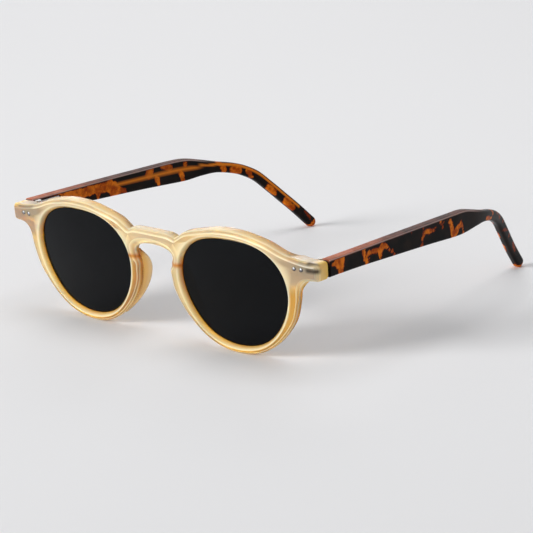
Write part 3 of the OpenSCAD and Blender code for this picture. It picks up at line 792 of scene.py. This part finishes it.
# Patches of the tortoise sheet on the temple's two faces: [along, height] at both ends of a
# streak, its two half widths, and how clearly it shows. All in mm from the joint. The patches
# that start at 144 mm or later, at the tip, are painted light: the thin tip lit through in amber.
OUTER_PATCHES = [
    (2.0, 1.3, 6.5, 2.6, 1.0, 1.0, 1), (6.9, 3.2, 5.8, -2.4, 1.0, 1.4, 1),
    (3.3, 1.6, 4.8, 0.6, 1.4, 1.4, 1), (18.2, 3.4, 20.2, -2.6, 1.0, 1.1, 1),
    (20, 0.8, 27, 0.6, 0.7, 1.0, 1), (27.5, 0.6, 28, -2.4, 1.5, 0.8, 1),
    (28.8, 3.3, 30, 1.4, 0.8, 1.2, 1), (29, 1.0, 27, 0.6, 1.2, 1.2, 1),
    (31, 1.4, 35.6, -2.8, 0.7, 0.7, 1), (52.6, 3.4, 53.4, 1.2, 0.4, 0.8, 1),
    (53.5, 1.6, 58.5, 0.8, 0.8, 0.7, 1), (58, 0.9, 61, 1.3, 0.6, 0.3, 1),
    (52.9, -0.2, 51.8, -3.4, 0.4, 0.6, 1), (63.2, 3.4, 64.6, 0.8, 0.7, 0.5, 1),
    (67, 3.2, 69.8, 0.8, 0.6, 0.7, 1), (70, 2.2, 70.3, 0.8, 0.8, 0.6, 1),
    (70.5, -0.8, 71.5, -3.2, 1.3, 1.6, 1), (73, -1.2, 76.5, 0, 1.0, 0.8, 1),
    (76.3, 0.2, 78, -3.6, 0.8, 0.5, 1), (72.5, -2.5, 74, -1.5, 1.5, 1.0, 1),
    (96.5, -0.6, 101, -1.0, 0.8, 0.7, 1), (101, 2.2, 102.3, 1.0, 0.5, 0.7, 0.7),
    (115.3, 0.8, 117, 0.3, 0.8, 0.6, 0.45), (126, 0.8, 127, 0.2, 0.6, 0.5, 0.45),
    (107, 1.5, 111, 0.4, 0.6, 0.8, 0.38), (120, -0.6, 123, 0.6, 0.7, 0.6, 0.4),
    (133, 0.7, 138, -0.3, 0.7, 0.8, 0.4), (41, 3.6, 42, 3.3, 0.7, 0.5, 0.4),
    (45.5, 3.6, 46.3, 2.6, 0.6, 0.4, 0.4), (144, -3.0, 149, -2.2, 0.6, 1.3, 0.85),
    (148.4, -2, 149.6, 0.6, 1.5, 0.9, 0.9),
]
INNER_PATCHES = [
    (9, 0.7, 41, 0.7, 1.8, 1.9, 1), (6, 3.2, 11, 3.2, 0.7, 0.7, 0.8),
    (38.6, 3.5, 39.6, 2, 0.9, 1.2, 0.9), (32.8, -0.5, 32.8, -3.2, 0.8, 0.8, 1),
    (41, 0, 41, -2.8, 2.2, 2.2, 1), (43, -1.5, 47.5, -3.1, 1.5, 0.6, 1),
    (60.3, 3.6, 59.5, 1.8, 1.8, 2.0, 0.7), (67, 3.5, 71, 2.2, 1.4, 1.2, 0.6),
    (63.8, -0.6, 65, -3.2, 1.3, 0.7, 1), (76.5, -0.3, 78, -4, 1.2, 1.0, 1),
    (78.7, 3, 78.7, 1.5, 0.7, 0.7, 0.7), (97.8, -0.3, 98.3, -1.5, 1.2, 1.0, 1),
    (102.5, -0.3, 105.5, -0.5, 1.5, 1.4, 1), (109.5, 0.2, 111.5, -1.4, 1.1, 1.0, 1),
    (121.5, -0.9, 124.5, -1.4, 1.3, 1.3, 1), (131.5, -1, 135.5, -1.4, 1.5, 1.4, 1),
    (95, 3, 96, 2.3, 1.5, 1.3, 0.7), (147.6, -2.0, 149.0, 0.8, 1.1, 1.5, 0.85),
    (141.5, 0.8, 145.5, 0.4, 0.5, 0.6, 0.4),
]
PATCH_REACH, NO_PATCH = 6, -3.0
# The core wire, as it shows on the inner face: along and height.
WIRE_LINE = [(41, 0.8), (75, 0.7), (85, 0.9), (95, 1.2), (105, 1.3), (112, 1.0), (120, 0.8),
             (138, 0.7)]
# How much painted glint each point of a ring gets on the two top corners.
TOP_CORNERS = {2: 0.3, 3: 0.7, 4: 0.3, 11: 0.3, 12: 0.7, 13: 0.3}


def streak(s, z, patch):
    """How far a point lies inside a patch, and how clearly the patch shows."""
    s0, z0, s1, z1, r0, r1, clear = patch
    d = Vector((s1 - s0, z1 - z0))
    k = min(max((Vector((s - s0, z - z0)).dot(d)) / d.length_squared, 0), 1)
    gap = math.hypot(s - s0 - d.x * k, z - z0 - d.y * k)
    return mix(r0, r1, k) - gap, clear


def patch_field(s, z, patches):
    best, strength = NO_PATCH, 1.0
    for patch in patches:
        if min(patch[0], patch[2]) - PATCH_REACH < s < max(patch[0], patch[2]) + PATCH_REACH:
            value, clear = streak(s, z, patch)
            if value > best:
                best, strength = value, clear
    return best, strength


def wire_height(s):
    for (s0, z0), (s1, z1) in zip(WIRE_LINE, WIRE_LINE[1:]):
        if s0 <= s <= s1:
            return mix(z0, z1, (s - s0) / (s1 - s0))
    return None


def sheet_marks(row, place, s, x, z):
    """Marks a point of the bar with the amber patch it lies in and how clear that is, the wire,
    the painted light on the top face, reddest near the joint, and the painted glint on the top
    corners, which both end at the bend."""
    outer, outer_clear = patch_field(s, z, OUTER_PATCHES)
    inner, inner_clear = patch_field(s, z, INNER_PATCHES)
    facing = ramp(x, -0.6, 0.6)
    height = wire_height(s)
    wire = 0.0 if height is None or x > 0 else 1 - ramp(abs(z - height), 0.3, 0.65)
    straight = 1 - ramp(s, 82, 94)
    half_h = PATH[min(max(row - BEFORE_BAR, 0), last)][2] / 2
    top = ramp(z - half_h, -0.8, -0.2) * mix(1, 0.5, ramp(s, 8, 48)) * mix(0.3, 1, straight)
    return {"amber": mix(inner, outer, facing), "clear": mix(inner_clear, outer_clear, facing),
            "wire": wire, "top": top, "corner": TOP_CORNERS.get(place, 0) * straight}


DARK_SHEET = ((0.006, 0.0055, 0.0055), (0.017, 0.010, 0.008))
AMBER_SHEET = ((0.38, 0.055, 0.003), (0.85, 0.22, 0.010))
RUST_EDGE, WIRE_GOLD, CORNER_GLINT = (0.20, 0.022, 0.003), (0.80, 0.23, 0.02), (0.62, 0.46, 0.42)
TOP_SHEEN = ((0.022, 0.010, 0.009), (0.10, 0.038, 0.028))
TOP_RED_LIGHT = ((0.28, 0.075, 0.035), (0.46, 0.15, 0.08))

tortoise, tree, body = shader("tortoise_acetate", (0.02, 0.012, 0.01), 0.3)
ragged = spread(tree, texture(tree, 420.0, 5.0, 0.6), 0.25, 0.75, -0.75, 0.75, False)
torn = combined(tree, "ADD", mark(tree, "amber"), ragged)
strength = combined(tree, "MULTIPLY", spread(tree, torn, -0.35, 0.45, 0.0, 1.0),
                    mark(tree, "clear"))
shaded = spread(tree, texture(tree, 150.0), 0.35, 0.7, 0.0, 1.0)
dark = blended(tree, shaded, *DARK_SHEET)
mottled = spread(tree, texture(tree, 300.0, 5.0, 0.65), 0.35, 0.65, 0.0, 1.0)
amber = blended(tree, mottled, *AMBER_SHEET)
rust = blended(tree, spread(tree, strength, 0.0, 0.45, 0.0, 1.0), dark, RUST_EDGE)
sheet = blended(tree, spread(tree, strength, 0.3, 0.9, 0.0, 1.0), rust, amber)
# Painted light on the top faces: a sheen towards their edges and along the bar, and a red light
# near the joint, where light from behind grazes them.
top = mark(tree, "top")
mottled_top = spread(tree, texture(tree, 130.0, 4.0, 0.6), 0.35, 0.62, 0.0, 1.0)
top_sheen = blended(tree, mottled_top, *TOP_SHEEN)
top_red_light = blended(tree, mottled_top, *TOP_RED_LIGHT)
sheet = blended(tree, spread(tree, top, 0.0, 0.5, 0.0, 1.0), sheet, top_sheen)
sheet = blended(tree, spread(tree, top, 0.5, 1.0, 0.0, 1.0), sheet, top_red_light)
tree.links.new(spread(tree, top, 0.0, 0.5, 0.28, 0.5), body.inputs["Roughness"])
# A painted glint along the two top corners.
sheet = blended(tree, mark(tree, "corner"), sheet, CORNER_GLINT)
tree.links.new(blended(tree, mark(tree, "wire"), sheet, WIRE_GOLD), body.inputs["Base Color"])
body.inputs["Subsurface Weight"].default_value = 0.2
body.inputs["Subsurface Radius"].default_value = (1.0, 0.35, 0.08)
body.inputs["Subsurface Scale"].default_value = 0.0015
body.inputs["IOR"].default_value = 1.4
body.inputs["Specular IOR Level"].default_value = 0.07
satin(tree, body, *SATIN)

# The pin of the hinge, and the slots that are milled round it for the knuckles and the leaf.
PIN = Vector((67.85, 8.2525 + FOOTPRINT_Y, 34.958))
KNUCKLE_SLOT = ((-3, -4, -2.51), (2.2, 2.55, 2.51))
LEAF_SLOT = ((-3, 1.5, -2.21), (2.2, 12.05, 2.21))
SLOT_FACES = ((0, 1, 3, 2), (4, 6, 7, 5), (0, 4, 5, 1), (2, 3, 7, 6), (0, 2, 6, 4), (1, 5, 7, 3))


def slot_cutter(low, high, side):
    tool = bmesh.new()
    corners = [tool.verts.new(Vector((side * (PIN.x + x), PIN.y + y, PIN.z + z)) * MM)
               for x in (low[0], high[0]) for y in (low[1], high[1]) for z in (low[2], high[2])]
    for f in SLOT_FACES:
        tool.faces.new([corners[k] for k in f])
    bmesh.ops.recalc_face_normals(tool, faces=tool.faces)
    cutter = bpy.data.objects.new("cutter", bpy.data.meshes.new("cutter"))
    tool.to_mesh(cutter.data)
    tool.free()
    bpy.context.collection.objects.link(cutter)
    return cutter


def milled(piece, slots, side):
    for low, high in slots:
        cutter = slot_cutter(low, high, side)
        cut = piece.modifiers.new("slot", "BOOLEAN")
        cut.operation = "DIFFERENCE"
        cut.solver = "EXACT"
        cut.object = cutter
        bpy.context.view_layer.update()
        shaped = piece.evaluated_get(bpy.context.evaluated_depsgraph_get())
        piece.modifiers.clear()
        piece.data = bpy.data.meshes.new_from_object(shaped)
        bpy.data.objects.remove(cutter)


points = [point for ring in temple_rings for point in ring]
ring_size = len(temple_rings[0])
rows = [sheet_marks(k // ring_size, k % ring_size, s, x, z)
        for k, (_, s, x, z) in enumerate(points)]
temple_marks = {name: [row[name] for row in rows] for name in rows[0]}

for side, which in ((1, "left"), (-1, "right")):
    verts = [Vector((side * p.x, p.y + FOOTPRINT_Y, p.z)) * MM for p, _, _, _ in points]
    temple = sewn("temple_" + which + "_tortoise", verts, capped(len(temple_rings), ring_size),
                  marks=temple_marks)
    milled(temple, (KNUCKLE_SLOT, LEAF_SLOT), side)
    even_shading(temple)
    temple.data.materials.clear()
    temple.data.materials.append(tortoise)
    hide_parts("temple_" + which)
    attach(temple, which + "_temple")


# The core wires: a stiff gilt wire, shot hot into the middle of each temple so that the ear
# piece keeps its bend. It shows through the acetate as a bright line on the inner face.

gilt, tree, body = shader("gilt_wire", (0.83, 0.52, 0.22), 0.25)
body.inputs["Metallic"].default_value = 1.0
drawn = texture(tree, 1800.0, 2.0)
tree.links.new(spread(tree, drawn, 0.3, 0.7, 0.2, 0.35), body.inputs["Roughness"])
for name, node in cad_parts.items():
    if "core_wire" in name:
        node.data.materials.clear()
        node.data.materials.append(gilt)
